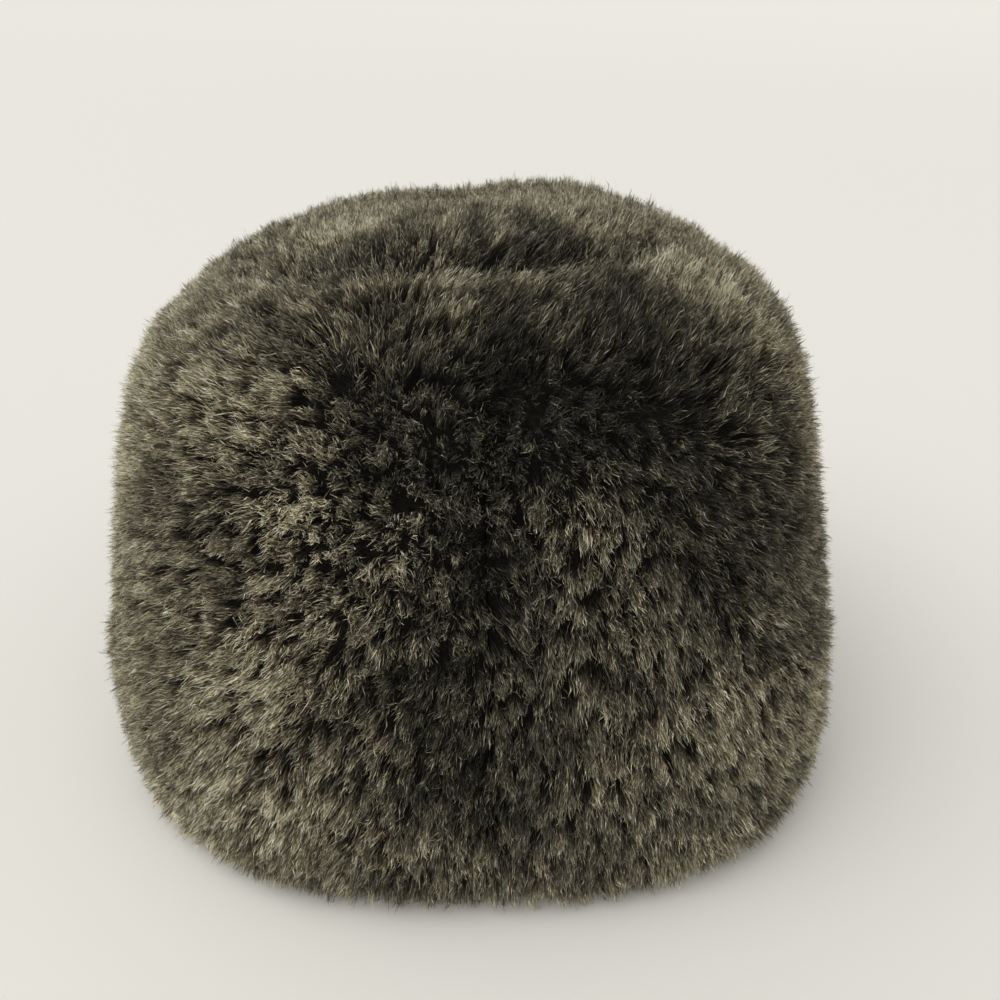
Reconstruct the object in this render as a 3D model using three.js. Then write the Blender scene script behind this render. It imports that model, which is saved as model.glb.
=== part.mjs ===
// A papakha: a tall rounded fur hat, in millimetres with +Z up. It stands on its lower edge and its front
// looks along -Y. The side band is two sheepskin halves sewn at the centre front and the centre back, and a
// low domed crown is sewn into the band's upper edge. Each piece is one pelt, hollow inside the hat: a thin
// hide with the pile fused outside it in overlapping rows of locks.

import * as THREE from 'three';

// Driving dimensions
const HAT_WIDTH = 216;
const HAT_DEPTH = 233;
const HAT_HEIGHT = 153;
const PILE_LENGTH = 18;
const HIDE_THICKNESS = 2;
const LOCK_WIDTH = 12;
const LOCK_LENGTH = 12;
const SEAM_GAP = 0.3;
const SEAM_PARTING_WIDTH = 9;
const INSIDE_FACET = 26;

// How the top of the hat has settled: its shift along X, how much higher +X would be than -X if the tilt
// ran over the whole width, and how much higher the front and back would be than the middle, because the
// top is arched across and nearly level from front to back.
const TOP_SHIFT = -8.5;
const TOP_TILT = 25;
const TOP_ARCH = 28;

// The plan is between an ellipse, which is 2, and a rectangle
const PLAN_SQUARENESS = 2.5;

// Depths in the pile, as shares of its length
const LOCK_RELIEF = 0.24;
const CROWN_SEAM_PARTING = 0.34;
const SIDE_SEAM_PARTING = 0.16;

// A lock, in shares: how high its root is in its relief, how far up its row its tip lies, and how much
// the tips' heights stray.
const ROOT_LIFT = 0.35;
const TIP_PLACE = 0.3;
const TIP_STRAY = 0.35;

// The side view, from the table to the middle of the top: level is a share of HAT_HEIGHT, and girth a
// share of the widest plan. The band ends, and the crown begins, at the row named crown seam.
const SECTIONS = [
  { name: 'edge', level: 0, girth: 0.94 },
  { name: 'curl', level: 0.04, girth: 0.983 },
  { name: 'widest', level: 0.12, girth: 1 },
  { name: 'low side', level: 0.25, girth: 0.995 },
  { name: 'middle', level: 0.4, girth: 0.957 },
  { name: 'high side', level: 0.55, girth: 0.917 },
  { name: 'shoulder', level: 0.7, girth: 0.867 },
  { name: 'roll', level: 0.82, girth: 0.787 },
  { name: 'top of roll', level: 0.905, girth: 0.637 },
  { name: 'crown seam', level: 0.944, girth: 0.54 },
  { name: 'crown', level: 0.968, girth: 0.44 },
  { name: 'upper crown', level: 0.987, girth: 0.3 },
  { name: 'near top', level: 0.997, girth: 0.15 },
  { name: 'top', level: 1, girth: 0 },
];

// Places where the pile has parted or been pressed: around is in degrees from the front towards +X, level
// a share of the height, and slant how the parting climbs towards +X, in degrees. Run and width are shares
// of the hat's height, and depth is a share of the pile.
const PARTINGS = [
  { around: -10, level: 0.75, run: 0.2, width: 0.05, slant: -25, depth: 0.18 },
  { around: 8, level: 0.8, run: 0.14, width: 0.05, slant: 12, depth: 0.18 },
  { around: 25, level: 0.74, run: 0.12, width: 0.09, slant: -20, depth: 0.24 },
  { around: 36, level: 0.46, run: 0.24, width: 0.05, slant: -48, depth: 0.2 },
  { around: 0, level: 0.45, run: 0.5, width: 0.05, slant: 88, depth: 0.14 },
  { around: 150, level: 0.6, run: 0.3, width: 0.07, slant: 30, depth: 0.16 },
  { around: -130, level: 0.45, run: 0.26, width: 0.07, slant: -40, depth: 0.16 },
];

// Where the crown has sunk, in shares of the hat's half width and half depth, and of the pile's length
const CROWN_DENT = { x: 0, y: 0.3, reach: 0.28, depth: 0.36 };

// Sizes worked out from those
const HALF_WIDTH = HAT_WIDTH / 2;
const HALF_DEPTH = HAT_DEPTH / 2;
const MEAN_RADIUS = (HALF_WIDTH + HALF_DEPTH) / 2;
const PELT_THICKNESS = PILE_LENGTH + HIDE_THICKNESS;
const FRONT = -Math.PI / 2;

const FUR = { color: 0x625c4c, roughness: 0.95, metalness: 0 };

// The side view as a smooth curve, and how far along it its named rows lie
const CURVE_STEPS = 40;
const sideView = new THREE.CatmullRomCurve3(
  SECTIONS.map((row) => new THREE.Vector3(row.girth * MEAN_RADIUS, 0, row.level * HAT_HEIGHT)),
  false,
  'centripetal',
);
sideView.arcLengthDivisions = CURVE_STEPS * (SECTIONS.length - 1);
const curveLengths = sideView.getLengths();
const LENGTH_TO_TOP = sideView.getLength();

function lengthTo(name) {
  const row = SECTIONS.findIndex((section) => section.name === name);
  return curveLengths[row * CURVE_STEPS];
}

const LENGTH_TO_WIDEST = lengthTo('widest');
const LENGTH_TO_CROWN = lengthTo('crown seam');

// A steady number from 0 to 1 for the lock in a given place of a piece
function scatter(piece, row, place) {
  const wave = Math.sin(piece * 17.13 + row * 127.1 + place * 311.7) * 43758.5453;
  return wave - Math.floor(wave);
}

// The smooth outline of the pile at an angle round the plan and a length up the side view: a point on it,
// and the direction straight out of it.
function outlineAt(angle, length) {
  const share = THREE.MathUtils.clamp(length / LENGTH_TO_TOP, 0, 1);
  const section = sideView.getPointAt(share);
  const slope = sideView.getTangentAt(share);
  const power = PLAN_SQUARENESS;
  const cos = Math.cos(angle);
  const sin = Math.sin(angle);
  const reach = (Math.abs(cos) ** power + Math.abs(sin) ** power) ** (-1 / power);
  const plan = new THREE.Vector3(HALF_WIDTH * reach * cos, HALF_DEPTH * reach * sin, 0);
  const across = new THREE.Vector3(
    Math.sign(cos) * Math.abs(cos) ** (power - 1) / HALF_WIDTH,
    Math.sign(sin) * Math.abs(sin) ** (power - 1) / HALF_DEPTH,
    0,
  ).normalize();
  const widening = slope.x / MEAN_RADIUS * plan.dot(across);
  const out = across.multiplyScalar(slope.z).setZ(Math.max(0, -widening)).normalize();
  const point = plan.multiplyScalar(section.x / MEAN_RADIUS).setZ(section.z);
  return { point, out };
}

// How deep the pile lies at a distance from the middle of a parting
function partedBy(distance, width, depth) {
  return depth * Math.exp(-((distance / width) ** 2));
}

// How deep one row of the table of partings presses the pile at a point of the outline
function pressedBy(parting, angle, level) {
  const turn = angle - FRONT - THREE.MathUtils.degToRad(parting.around);
  const aside = Math.atan2(Math.sin(turn), Math.cos(turn)) * MEAN_RADIUS;
  const up = level - parting.level * HAT_HEIGHT;
  const slant = THREE.MathUtils.degToRad(parting.slant);
  const along = aside * Math.cos(slant) + up * Math.sin(slant);
  const off = up * Math.cos(slant) - aside * Math.sin(slant);
  const pastEnd = Math.max(0, Math.abs(along) - parting.run * HAT_HEIGHT / 2);
  return partedBy(Math.hypot(off, pastEnd), parting.width * HAT_HEIGHT, parting.depth);
}

// How deep the crown has sunk at a point of the outline
function sunkBy(point) {
  const aside = point.x / HALF_WIDTH - CROWN_DENT.x;
  const behind = point.y / HALF_DEPTH - CROWN_DENT.y;
  return partedBy(Math.hypot(aside, behind), CROWN_DENT.reach, CROWN_DENT.depth);
}

// How far the pile lies below its smooth outline before any lock is formed in it, as a share of its length
function partingAt(angle, length) {
  const { point } = outlineAt(angle, length);
  const isBand = length < LENGTH_TO_CROWN;
  const fromCrownSeam = Math.abs(length - LENGTH_TO_CROWN);
  const depths = PARTINGS.map((parting) => pressedBy(parting, angle, point.z));
  depths.push(partedBy(fromCrownSeam, SEAM_PARTING_WIDTH, CROWN_SEAM_PARTING));
  if (isBand) depths.push(partedBy(point.x, SEAM_PARTING_WIDTH, SIDE_SEAM_PARTING));
  else depths.push(sunkBy(point));
  return Math.max(...depths);
}

// A point at a depth below the outline, before the hat settles
function inPelt(angle, length, depth) {
  const { point, out } = outlineAt(angle, length);
  return point.addScaledVector(out, -depth);
}

// The settled hat: its top has shifted, tilts and is arched, and nothing moves at the table
function settle(point) {
  const rise = point.z / HAT_HEIGHT;
  const tilt = TOP_TILT * point.x / HAT_WIDTH;
  const arch = TOP_ARCH * (point.y / HALF_DEPTH) ** 2;
  return new THREE.Vector3(
    point.x + TOP_SHIFT * rise,
    point.y,
    point.z + (tilt + arch) * rise ** 2,
  );
}

// Locks lie in rows like thatch, each row half a lock aside from the last. Odd lines of points pass
// through a row's tips, and even lines through its roots, where the next row begins.
function isTipLine(line) {
  return line % 2 === 1;
}

function rowOf(line) {
  return Math.ceil(line / 2) - 1;
}

function isLockMiddle(line, column) {
  return (rowOf(line) + column + 1) % 2 === 1;
}

// The lengths up the side view, or across the crown, at which a field's lines of points lie
function lockLines(from, to) {
  const roots = evenSteps(from, to, LOCK_LENGTH);
  const lines = [roots[0]];
  for (let row = 1; row < roots.length; row += 1) {
    lines.push(THREE.MathUtils.lerp(roots[row - 1], roots[row], TIP_PLACE), roots[row]);
  }
  return lines;
}

// Even steps of about a given size from one value to another
function evenSteps(from, to, size) {
  const count = Math.max(2, Math.round(Math.abs(to - from) / size));
  return Array.from({ length: count + 1 }, (_, step) => from + (to - from) * step / count);
}

// A point on the pile. Along an edge no lock rises, so the pile falls to its seam.
function pilePoint(piece, line, column, angle, length, isEdge) {
  let lift = 0;
  if (!isEdge && isLockMiddle(line, column)) {
    lift = isTipLine(line) ? 1 - TIP_STRAY * scatter(piece, line, column) : ROOT_LIFT;
  }
  const depth = partingAt(angle, length) + LOCK_RELIEF * (1 - lift);
  return inPelt(angle, length, depth * PILE_LENGTH);
}

// A closed skin, built up from lines of points joined by triangles. Seen from outside, a line runs to the
// right, the next one lies above it and corners run anticlockwise.
class Skin {
  constructor() {
    this.points = [];
    this.corners = [];
  }

  line(points) {
    const first = this.points.length;
    this.points.push(...points);
    return points.map((_, place) => first + place);
  }

  // A square, cut along the diagonal from its first corner
  square(a, b, c, d) {
    this.corners.push(a, b, c, a, c, d);
  }

  // A strip between two lines that may have different numbers of points
  strip(lower, upper) {
    let low = 0;
    let high = 0;
    while (low < lower.length - 1 || high < upper.length - 1) {
      const lowShare = (low + 1) / (lower.length - 1);
      const highShare = (high + 1) / (upper.length - 1);
      if (lowShare <= highShare) {
        this.corners.push(lower[low], lower[low + 1], upper[high]);
        low += 1;
      } else {
        this.corners.push(lower[low], upper[high + 1], upper[high]);
        high += 1;
      }
    }
  }

  // Lines of locks, where each square is cut along the diagonal that meets a tip
  locks(lines) {
    for (let line = 1; line < lines.length; line += 1) {
      const lower = lines[line - 1];
      const upper = lines[line];
      for (let column = 0; column < lower.length - 1; column += 1) {
        const next = column + 1;
        const cutFromLowerLeft = isTipLine(line) !== isLockMiddle(line, column);
        if (cutFromLowerLeft) this.square(lower[column], lower[next], upper[next], upper[column]);
        else this.square(lower[next], upper[next], upper[column], lower[column]);
      }
    }
  }

  // The hide's inner face, whose lines are seen from the other side
  inside(lines) {
    for (let line = 1; line < lines.length; line += 1) this.strip(lines[line], lines[line - 1]);
  }

  mesh(name) {
    const geometry = new THREE.BufferGeometry().setFromPoints(this.points.map(settle));
    geometry.setIndex(this.corners);
    geometry.computeVertexNormals();
    const mesh = new THREE.Mesh(geometry, new THREE.MeshStandardMaterial(FUR));
    mesh.name = name;
    return mesh;
  }
}

// Half of the side band, from one centre seam anticlockwise to the other: the +X half starts at the
// front, and the -X half at the back.
function bandHalf(name, side) {
  const skin = new Skin();
  const start = side > 0 ? FRONT : -FRONT;
  const locksRound = Math.round(Math.PI * MEAN_RADIUS / LOCK_WIDTH);
  const lastColumn = 2 * locksRound;
  const columns = Array.from({ length: lastColumn + 1 }, (_, column) => column);
  const angles = columns.map((column) => start + Math.PI * column / lastColumn);
  const topLength = LENGTH_TO_CROWN - SEAM_GAP / 2;
  const offSeam = new THREE.Vector3(side * SEAM_GAP / 2, 0, 0);
  const placed = (points) => skin.line(points.map((point) => point.add(offSeam)));

  const edge = placed(angles.map((angle) => inPelt(angle, 0, 0)));
  const pileLines = lockLines(0, topLength).slice(1).map((length, place) => placed(
    columns.map((column) => {
      const isSeam = column === 0 || column === lastColumn;
      return pilePoint(side, place + 1, column, angles[column], length, isSeam);
    }),
  ));
  const pile = [edge, ...pileLines];
  const hideEdge = placed(angles.map((angle) => (
    inPelt(angle, LENGTH_TO_WIDEST, PELT_THICKNESS).setZ(0)
  )));
  const hideLines = evenSteps(LENGTH_TO_WIDEST, topLength, INSIDE_FACET)
    .map((length) => placed(angles.map((angle) => inPelt(angle, length, PELT_THICKNESS))));
  const hide = [hideEdge, ...hideLines];

  skin.locks(pile);
  skin.inside(hide);
  skin.strip(hide[0], pile[0]);
  skin.strip(pile[pile.length - 1], hide[hide.length - 1]);
  skin.strip(pile.map((line) => line[0]), hide.map((line) => line[0]));
  skin.strip(hide.map((line) => line[lastColumn]), pile.map((line) => line[lastColumn]));
  return skin.mesh(name);
}

// A place on the crown, from a square field whose sides run from -1 to 1, rounded to a disc
function crownPlace(across, along) {
  const x = across * Math.sqrt(1 - along ** 2 / 2);
  const y = along * Math.sqrt(1 - across ** 2 / 2);
  const fromTop = LENGTH_TO_TOP - LENGTH_TO_CROWN - SEAM_GAP / 2;
  return {
    angle: Math.atan2(y, x),
    length: LENGTH_TO_TOP - fromTop * Math.min(1, Math.hypot(x, y)),
  };
}

// The crown: a disc of pelt whose locks lie towards the front
function crown(name) {
  const skin = new Skin();
  const radius = LENGTH_TO_TOP - LENGTH_TO_CROWN;
  const rows = lockLines(-radius, radius).map((length) => length / radius);
  const columns = evenSteps(-radius, radius, LOCK_WIDTH / 2).map((length) => length / radius);
  const isRim = (line, column) => [0, rows.length - 1].includes(line)
    || [0, columns.length - 1].includes(column);

  const field = (pointAt) => rows.map((along, line) => skin.line(columns.map((across, column) => {
    const { angle, length } = crownPlace(across, along);
    return pointAt(angle, length, line, column);
  })));
  const pile = field((angle, length, line, column) => (
    pilePoint(0, line, column, angle, length, isRim(line, column))
  ));
  const hide = field((angle, length) => inPelt(angle, length, PELT_THICKNESS));

  skin.locks(pile);
  skin.inside(hide);
  const leftOf = (lines) => lines.map((line) => line[0]);
  const rightOf = (lines) => lines.map((line) => line[line.length - 1]);
  skin.strip(hide[0], pile[0]);
  skin.strip(pile[pile.length - 1], hide[hide.length - 1]);
  skin.strip(leftOf(pile), leftOf(hide));
  skin.strip(rightOf(hide), rightOf(pile));
  return skin.mesh(name);
}

// The whole hat, moved so that the middle of its outline stands over the origin
const papakha = new THREE.Group();
papakha.add(bandHalf('band_left', -1), bandHalf('band_right', 1), crown('crown'));
const middle = new THREE.Box3().setFromObject(papakha).getCenter(new THREE.Vector3());
papakha.position.set(-middle.x, -middle.y, 0);

export default papakha;
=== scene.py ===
"""A papakha: a tall fur hat of deep grey-brown sheepskin, standing on a pale floor.

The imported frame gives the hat's two band halves and its crown. Each is shown as a pelt, a shell of hide and
dense underfur, and as the pile that grows from it: narrow bent strands gathered into small wisps, whose
lean follows how the pile was combed, pressed and parted. All lengths are in metres.
"""

import math

import bpy
import numpy as np
from mathutils import Matrix, Vector


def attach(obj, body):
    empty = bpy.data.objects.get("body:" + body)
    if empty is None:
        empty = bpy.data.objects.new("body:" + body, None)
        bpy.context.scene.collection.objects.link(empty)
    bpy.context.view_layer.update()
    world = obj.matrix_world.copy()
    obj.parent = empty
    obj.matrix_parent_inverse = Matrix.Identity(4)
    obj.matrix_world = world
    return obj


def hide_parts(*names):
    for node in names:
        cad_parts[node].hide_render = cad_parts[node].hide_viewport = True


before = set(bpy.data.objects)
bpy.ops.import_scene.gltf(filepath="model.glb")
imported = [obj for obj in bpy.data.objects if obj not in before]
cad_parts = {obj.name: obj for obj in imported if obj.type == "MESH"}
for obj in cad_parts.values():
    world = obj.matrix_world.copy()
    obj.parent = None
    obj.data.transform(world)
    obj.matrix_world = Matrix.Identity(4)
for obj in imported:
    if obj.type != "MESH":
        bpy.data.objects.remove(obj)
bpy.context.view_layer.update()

# The hat's own sizes, as in its solids
HAT_WIDTH = 0.216
HAT_DEPTH = 0.233
HAT_HEIGHT = 0.153
PILE = 0.018
HIDE = 0.002
SEAM_GAP = 0.0003
TOP_SHIFT = -0.0085
TOP_TILT = 0.025
TOP_ARCH = 0.028
PLAN_SQUARENESS = 2.5

# The side view: level as a share of the height, girth as a share of the widest plan
SECTIONS = [
    {"level": 0.0, "girth": 0.94},
    {"level": 0.04, "girth": 0.983},
    {"level": 0.12, "girth": 1.0},
    {"level": 0.25, "girth": 0.995},
    {"level": 0.4, "girth": 0.957},
    {"level": 0.55, "girth": 0.917},
    {"level": 0.7, "girth": 0.867},
    {"level": 0.82, "girth": 0.787},
    {"level": 0.905, "girth": 0.637},
    {"level": 0.944, "girth": 0.54},
    {"level": 0.968, "girth": 0.44},
    {"level": 0.987, "girth": 0.3},
    {"level": 0.997, "girth": 0.15},
    {"level": 1.0, "girth": 0.0},
]
WIDEST_ROW = 2
CROWN_SEAM_ROW = 9

HALF_WIDTH = HAT_WIDTH / 2
HALF_DEPTH = HAT_DEPTH / 2
MEAN_RADIUS = (HALF_WIDTH + HALF_DEPTH) / 2
FRONT = -math.pi / 2

# Partings of the pile: around in degrees from the front towards +X, level, run and width in shares of the
# height, slant in degrees as the parting climbs towards +X, and depth in shares of the pile
PARTINGS = [
    {"around": -10, "level": 0.75, "run": 0.2, "width": 0.05, "slant": -25, "depth": 0.18},
    {"around": 8, "level": 0.8, "run": 0.14, "width": 0.05, "slant": 12, "depth": 0.18},
    {"around": 25, "level": 0.74, "run": 0.12, "width": 0.09, "slant": -20, "depth": 0.24},
    {"around": 36, "level": 0.46, "run": 0.24, "width": 0.05, "slant": -48, "depth": 0.2},
    {"around": 0, "level": 0.45, "run": 0.5, "width": 0.05, "slant": 88, "depth": 0.1},
    {"around": 150, "level": 0.6, "run": 0.3, "width": 0.07, "slant": 30, "depth": 0.16},
    {"around": -130, "level": 0.45, "run": 0.26, "width": 0.07, "slant": -40, "depth": 0.16},
]

# A shallow dent in the crown: its place and reach in shares of the half width and the half depth, and its
# depth in shares of the pile
CROWN_DENT = {"x": 0.0, "y": 0.3, "reach": 0.28, "depth": 0.36}

# How the seams press the pile down: how far to each side, and how deep in shares of the pile. The band's
# seams, at the front and the back, fade out below that height, to that share.
SEAM_PARTING_WIDTH = 0.009
CROWN_SEAM_PARTING = 0.34
BAND_SEAM_PARTING = 0.16
SEAM_FADE_HEIGHT = 0.03
SEAM_FADE_LEAST = 0.1

# The pelts: how far their underfur lies below the outline, how far they stay above the floor, their grids,
# and the share of the side view at which the crown's cap starts
UNDERFUR_DEPTH = 0.0085
PELT_LIFT = 0.0006
BAND_ROWS = 54
BAND_COLUMNS = 91
CROWN_ROWS = 24
CROWN_COLUMNS = 96
PELT_TOP_SHARE = 0.9995

# Where the strands grow: in clumps of wisps, about evenly spaced. The jitter is in shares of the spacing. At
# the top the pile stops at a share of the side view, and the girth there counts as no less than a least one.
SEED = 7
CLUMP_SPACING = 0.0036
CLUMP_JITTER_ROUND = (0.1, 0.9)
CLUMP_JITTER_UP = (-0.45, 0.45)
CLUMP_REACH = 0.0023
CLUMP_BREADTH = (0.75, 1.35)
WISPS_PER_CLUMP = 9
WISP_REACH = 0.0007
FRONT_STRANDS = 6
BACK_STRANDS = 4
CROWN_STRANDS = 5
PILE_TOP_SHARE = 0.999
LEAST_GIRTH = 0.03

# How far the pile goes on in under the lower edge, where it turns to point down and out
UNDER_EDGE = 0.016
UNDER_TURN = 0.003
UNDER_OUTWARD = 0.5

# How high the strands stand: how deep their roots lie, the share of a parting's depth that these take, how
# far clumps and wisps fall short, what all gain, how clumps are domed, and how much one strand differs
ROOT_DEPTH = 0.0105
ROOT_PRESSED = 0.6
CLUMP_SHORTFALL = 0.0007
WISP_SHORTFALL = 0.0009
STATURE_GAIN = 0.0009
CLUMP_DOME = 0.0008
TALL_SPREAD = 0.08

# The shape of a strand: half the width that it has where it is alone in its wisp, how that differs, the
# shares of the height at which it starts and is widest, how it bends and is gathered, how its tip strays,
# which is less near the floor, and how far above the floor it stays
LONE_HALF_WIDTH = 0.000275
WIDTHS = (0.6, 1.4)
STARTS = (0.05, 0.6)
STRAND_MIDDLE = 0.7
STRAND_BEND = 0.0003
WISP_BEND = 0.0005
CLUMP_GATHER = 0.28
WISP_GATHER = 0.3
STRAY = 0.0005
FAR_STRAY = 0.0013
FAR_STRAY_SHARE = 0.1
STRAY_KEPT_IN = 0.75
FREE_HEIGHT = 0.02
FREE_LEAST = 0.2
STRAND_LIFT = 0.0003

# Some strands are bright, partly as paler guard hairs and partly as painted glints: they start high and are
# narrow, and their tone is a base and a share of their own
BRIGHT_SHARE = 0.12
BRIGHT_START = 0.4
BRIGHT_WIDTH = 0.8
BRIGHT_TONE = 0.55
BRIGHT_OWN_TONE = 0.42

# The lean of the tips: how much it differs between clumps and between wisps, how far they lean back at the
# sides, and how far they lean away from a parting, which turns over that distance from its line
CLUMP_LEAN = 0.12
WISP_LEAN = 0.08
SIDE_LEAN = 0.2
PARTING_LEAN = 2.2
PARTING_TURN = 0.002

# How pale the pile is, about 0 where it is dark and 1 where it is pale: its middle, how much clumps, wisps
# and strands differ, the painted shade at the edge of a clump and in a cleft between locks, and the limits
MIDDLE_TONE = 0.46
CLUMP_TONE_SPREAD = 0.12
WISP_TONE_SPREAD = 0.2
STRAND_TONE_SPREAD = 0.17
CLUMP_EDGE_PAINTED_SHADE = 0.2
CLEFT_PAINTED_SHADE = 0.8
TONE_LIMITS = (-1.0, 1.1)

# Noise in the lean and the tone of the pile
ASIDE_NOISE = [
    {"size": 0.028, "seed": 4, "strength": 0.3},
    {"size": 0.009, "seed": 5, "strength": 0.22},
]
UP_NOISE = [
    {"size": 0.033, "seed": 3, "strength": 0.2},
    {"size": 0.009, "seed": 6, "strength": 0.22},
]
TONE_NOISE = [
    {"size": 0.022, "seed": 8, "strength": 0.2},
    {"size": 0.008, "seed": 9, "strength": 0.2},
]

# How far the tips lean upwards at each level, in shares of the strand
UP_LEAN = [
    {"level": 0.0, "lean": -0.6},
    {"level": 0.3, "lean": -0.4},
    {"level": 0.62, "lean": -0.12},
    {"level": 0.85, "lean": 0.1},
    {"level": 1.0, "lean": 0.0},
]

# How the pile was combed: around in degrees, level and reach in shares of the height, and the lean of the
# tips round the hat, which is towards +X at the front, and upwards, in shares of the strand
COMBING = [
    {"around": 26, "level": 0.34, "reach": 0.36, "aside": -0.25, "up": -0.6},
    {"around": -38, "level": 0.35, "reach": 0.3, "aside": -0.2, "up": -0.1},
    {"around": 12, "level": 0.93, "reach": 0.17, "aside": 0.75, "up": 0.25},
    {"around": -8, "level": 0.9, "reach": 0.13, "aside": 0.35, "up": 0.35},
    {"around": -42, "level": 0.9, "reach": 0.2, "aside": -0.45, "up": 0.3},
    {"around": -26, "level": 0.83, "reach": 0.1, "aside": -0.4, "up": -0.3},
    {"around": 30, "level": 0.76, "reach": 0.14, "aside": 0.35, "up": 0.2},
]

# Where the pile has drawn together into locks, with clefts between them that are fainter elsewhere. The
# width of a cleft is in the noise's own measure. Strands in a cleft stand lower and are darkened with
# painted shade.
LOCKS = {"around": -6, "level": 0.62, "reach": 0.36}
LOCK_SIZE = 0.013
LOCK_FLATNESS = 1.5
LOCK_SEED = 12
CLEFT_WIDTH = 0.26
CLEFT_DEPTH = 0.0028
CLEFT_ELSEWHERE = 0.2

# Paler and darker patches of the pile, placed as the rows of the combing are: partly the pile's own tone and
# partly painted light and shade, such as the paler side towards -X, where the light comes from, and darker
# patches on the front towards +X, where less light falls
LIGHT_SHADE_AND_TONE_PATCHES = [
    {"around": 0, "level": 0.73, "reach": 0.2, "tone": -0.25},
    {"around": 3, "level": 0.81, "reach": 0.09, "tone": -0.45},
    {"around": -1, "level": 0.82, "reach": 0.06, "tone": -0.3},
    {"around": 8, "level": 0.71, "reach": 0.1, "tone": -0.35},
    {"around": 18, "level": 0.86, "reach": 0.09, "tone": -0.55},
    {"around": 23, "level": 0.79, "reach": 0.1, "tone": -0.5},
    {"around": 30, "level": 0.68, "reach": 0.11, "tone": -0.55},
    {"around": 40, "level": 0.61, "reach": 0.13, "tone": -0.6},
    {"around": 50, "level": 0.48, "reach": 0.13, "tone": -0.3},
    {"around": 5, "level": 0.45, "reach": 0.1, "tone": -0.3},
    {"around": 6, "level": 0.35, "reach": 0.09, "tone": -0.25},
    {"around": 26, "level": 0.46, "reach": 0.08, "tone": -0.25},
    {"around": -8, "level": 0.33, "reach": 0.12, "tone": -0.4},
    {"around": 0, "level": 0.27, "reach": 0.08, "tone": -0.3},
    {"around": -5, "level": 0.9, "reach": 0.06, "tone": 0.35},
    {"around": 3, "level": 0.84, "reach": 0.05, "tone": -0.25},
    {"around": -26, "level": 0.42, "reach": 0.08, "tone": 0.35},
    {"around": -27, "level": 0.7, "reach": 0.13, "tone": 0.35},
    {"around": -30, "level": 0.77, "reach": 0.11, "tone": 0.45},
    {"around": -42, "level": 0.76, "reach": 0.1, "tone": 0.15},
    {"around": -22, "level": 0.58, "reach": 0.1, "tone": 0.55},
    {"around": -12, "level": 0.57, "reach": 0.07, "tone": 0.35},
    {"around": -20, "level": 0.27, "reach": 0.08, "tone": 0.3},
    {"around": 16, "level": 0.6, "reach": 0.07, "tone": 0.3},
    {"around": 22, "level": 0.3, "reach": 0.25, "tone": 0.22},
    {"around": -2, "level": 1.0, "reach": 0.07, "tone": -0.6},
    {"around": 22, "level": 1.0, "reach": 0.1, "tone": -0.25},
    {"around": 3, "level": 0.955, "reach": 0.05, "tone": 0.3},
    {"around": -9, "level": 0.955, "reach": 0.05, "tone": 0.5},
    {"around": 31, "level": 0.945, "reach": 0.07, "tone": 0.3},
    {"around": 43, "level": 0.87, "reach": 0.1, "tone": 0.4},
    {"around": -33, "level": 0.9, "reach": 0.08, "tone": -0.3},
    {"around": -45, "level": 0.93, "reach": 0.1, "tone": 0.2},
    {"around": -38, "level": 0.22, "reach": 0.18, "tone": 0.2},
    {"around": -65, "level": 0.6, "reach": 0.35, "tone": 0.2},
]

# Wool: its shades from a strand's root to its tip, dark towards the root partly as painted shade deep in
# the pile, its tints, its palest colour, the powers of e by which tones 0 and 1 scale it, the crimp that
# shows as paler and darker bars along each strand, painted highlights and shade of the crimp's waves, with a
# shift of its own for each strand, and the share of light that it lets through
WOOL_SHADES = [
    (0.0, (0.010, 0.008, 0.006)),
    (0.5, (0.042, 0.034, 0.023)),
    (0.78, (0.20, 0.178, 0.122)),
    (1.0, (0.74, 0.71, 0.54)),
]
WOOL_TINTS = [(0.0, (1.10, 1.0, 0.88)), (1.0, (0.97, 1.0, 0.99))]
WOOL_PALEST = (0.95, 0.93, 0.84)
TONE_SCALE = (-1.12, 0.82)
CRIMPS = 5
CRIMP_GLINT_CONTRAST = 0.55
CRIMP_SHIFT = 40.0
WOOL_THROUGH = 0.38

# Underfur and hide: their shades, by the noise that mottles them. The underfur is nearly black, partly as
# painted shade deep in the pile.
UNDERFUR_SHADES = [(0.3, (0.006, 0.0055, 0.0045)), (0.7, (0.018, 0.016, 0.013))]
HIDE_SHADES = [(0.3, (0.20, 0.16, 0.12)), (0.7, (0.33, 0.28, 0.22))]

# The floor: level under the hat, and rising slowly far out, so that it fills the photograph's view
FLOOR_COLOR = (0.85, 0.83, 0.77)
FLOOR_ROUGHNESS = 0.7
FLOOR_PROFILE = [
    {"reach": 0.5, "rise": 0.0},
    {"reach": 2.0, "rise": 0.0},
    {"reach": 4.0, "rise": 0.04},
    {"reach": 6.0, "rise": 0.18},
    {"reach": 9.0, "rise": 0.58},
    {"reach": 12.0, "rise": 1.2},
]
FLOOR_SIDES = 72

# The light: a sky whose strength goes from the middle by the slope either way, and one lamp that is that
# many degrees broad
SKY_MIDDLE = 0.7
SKY_SLOPE = 0.42
SKY_TOWARD = (-0.85, -0.52, 0.0)
SKY_COLOR = (1.0, 1.0, 0.985)
LAMP_FROM = (-0.4, -0.3, 0.88)
LAMP_STRENGTH = 1.0
LAMP_BREADTH = 60

# The camera, fitted to the photograph's view, with its sensor and lens in millimetres
CAMERA_PLACE = (0.0063, -0.2881, 0.1914)
CAMERA_PITCH = math.radians(24.6)
CAMERA_ROLL = math.radians(2.5)
HAT_TURN = math.radians(5.1)
SENSOR = 36
LENS = 36
FOCUS = 0.21
APERTURE = 45
NEAREST = 0.01


# The outline, worked out as in the hat's solids

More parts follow.
